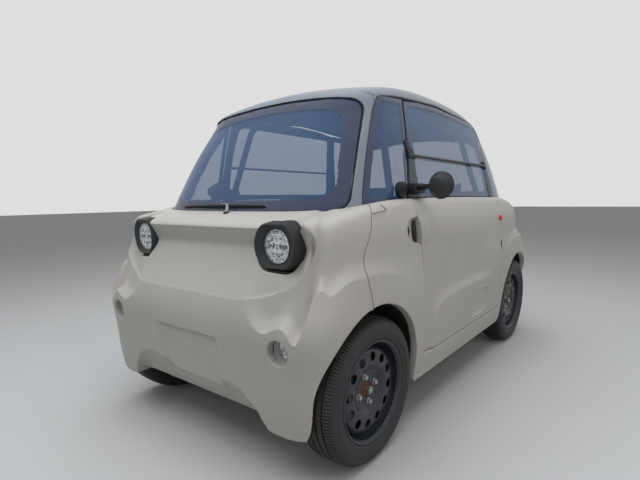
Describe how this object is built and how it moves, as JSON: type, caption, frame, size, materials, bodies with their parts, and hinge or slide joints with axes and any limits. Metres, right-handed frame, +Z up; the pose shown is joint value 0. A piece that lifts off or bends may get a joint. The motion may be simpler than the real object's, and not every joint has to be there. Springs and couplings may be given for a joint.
{
  "type": "electric microcar",
  "caption": "Short two-seat electric microcar with a mirrored front and rear moulding, opposed doors, round lamps in thick housings and steel wheels.",
  "frame": {"origin": "on the ground under the middle of the car", "axes": "+Z up, the car faces -Y, +X is the car's left side"},
  "size_m": [1.556, 2.4122, 1.5199],
  "materials": {
    "body_paint": "matte warm grey skin",
    "roof_plastic": "satin dark grey",
    "window_glass": "tinted glass",
    "lamp_glass": "clear lens",
    "tail_glass": "red lens",
    "grained_plastic": "grained black",
    "black_plastic": "moulded black",
    "frame_steel": "black paint",
    "wheel_steel": "satin black paint",
    "tyre_rubber": "rubber",
    "cast_metal": "raw casting"
  },
  "bodies": {
    "car": {"front_panel": "body_paint", "rear_panel": "body_paint", "fenders_front": "body_paint", "fenders_rear": "body_paint", "sills": "body_paint", "hoop_front": "body_paint", "hoop_rear": "body_paint", "windscreen": "window_glass", "rear_window": "window_glass", "roof_panel": "roof_plastic", "quarter_windows": "window_glass", "hinge_brackets": "frame_steel", "lamp_housings": "grained_plastic", "head_lamp_lenses": "lamp_glass", "tail_lamp_lenses": "tail_glass", "corner_lamps": "lamp_glass", "suspension_front": "frame_steel", "motor_block": "cast_metal", "battery_block": "black_plastic", "drive_shafts": "cast_metal", "rear_axle": "frame_steel", "dampers_rear": "frame_steel", "chassis_rails": "frame_steel", "cross_members": "frame_steel", "floor_pan": "frame_steel", "wheel_liners": "black_plastic", "cabin_frame": "frame_steel", "dashboard": "black_plastic", "steering_column": "black_plastic", "seat_driver": "black_plastic", "seat_passenger": "black_plastic", "seat_plinth": "frame_steel", "wiper": "black_plastic"},
    "left_door": {"door_left": "body_paint", "door_left_panes": "window_glass", "mirror_left": "grained_plastic"},
    "right_door": {"door_right": "body_paint", "door_right_panes": "window_glass", "mirror_right": "grained_plastic"},
    "left_knuckle": {"knuckle_left": "frame_steel"},
    "right_knuckle": {"knuckle_right": "frame_steel"},
    "steering": {"steering_wheel": "black_plastic"},
    "front_left_wheel": {"tyre_front_left": "tyre_rubber", "wheel_front_left": "wheel_steel"},
    "front_right_wheel": {"tyre_front_right": "tyre_rubber", "wheel_front_right": "wheel_steel"},
    "rear_left_wheel": {"tyre_rear_left": "tyre_rubber", "wheel_rear_left": "wheel_steel"},
    "rear_right_wheel": {"tyre_rear_right": "tyre_rubber", "wheel_rear_right": "wheel_steel"}
  },
  "joints": [
    {"name": "door_left_hinge", "type": "hinge", "parent": "car", "child": "left_door", "pos_m": [0.685, 0.5, 0.555], "axis": [0, 0, 1], "range_deg": [0, 70]},
    {"name": "door_right_hinge", "type": "hinge", "parent": "car", "child": "right_door", "pos_m": [-0.685, -0.5, 0.555], "axis": [0, 0, 1], "range_deg": [0, 70]},
    {"name": "steer_left", "type": "hinge", "parent": "car", "child": "left_knuckle", "pos_m": [0.565, -0.864, 0.2785], "axis": [0, 0, 1], "range_deg": [-30, 30]},
    {"name": "steer_right", "type": "hinge", "parent": "car", "child": "right_knuckle", "pos_m": [-0.565, -0.864, 0.2785], "axis": [0, 0, 1], "range_deg": [-30, 30]},
    {"name": "steering_turn", "type": "hinge", "parent": "car", "child": "steering", "pos_m": [0.28, -0.33, 0.86], "axis": [0, 0.8829, 0.4695], "range_deg": [-360, 360]},
    {"name": "front_left_spin", "type": "hinge", "parent": "left_knuckle", "child": "front_left_wheel", "pos_m": [0.6, -0.864, 0.2785], "axis": [1, 0, 0], "continuous": true},
    {"name": "front_right_spin", "type": "hinge", "parent": "right_knuckle", "child": "front_right_wheel", "pos_m": [-0.6, -0.864, 0.2785], "axis": [1, 0, 0], "continuous": true},
    {"name": "rear_left_spin", "type": "hinge", "parent": "car", "child": "rear_left_wheel", "pos_m": [0.6, 0.864, 0.2785], "axis": [1, 0, 0], "continuous": true},
    {"name": "rear_right_spin", "type": "hinge", "parent": "car", "child": "rear_right_wheel", "pos_m": [-0.6, 0.864, 0.2785], "axis": [1, 0, 0], "continuous": true}
  ],
  "couplings": [
    {"joint": "steer_right", "follows": "steer_left", "ratio": 1},
    {"joint": "steering_turn", "follows": "steer_left", "ratio": 12}
  ]
}
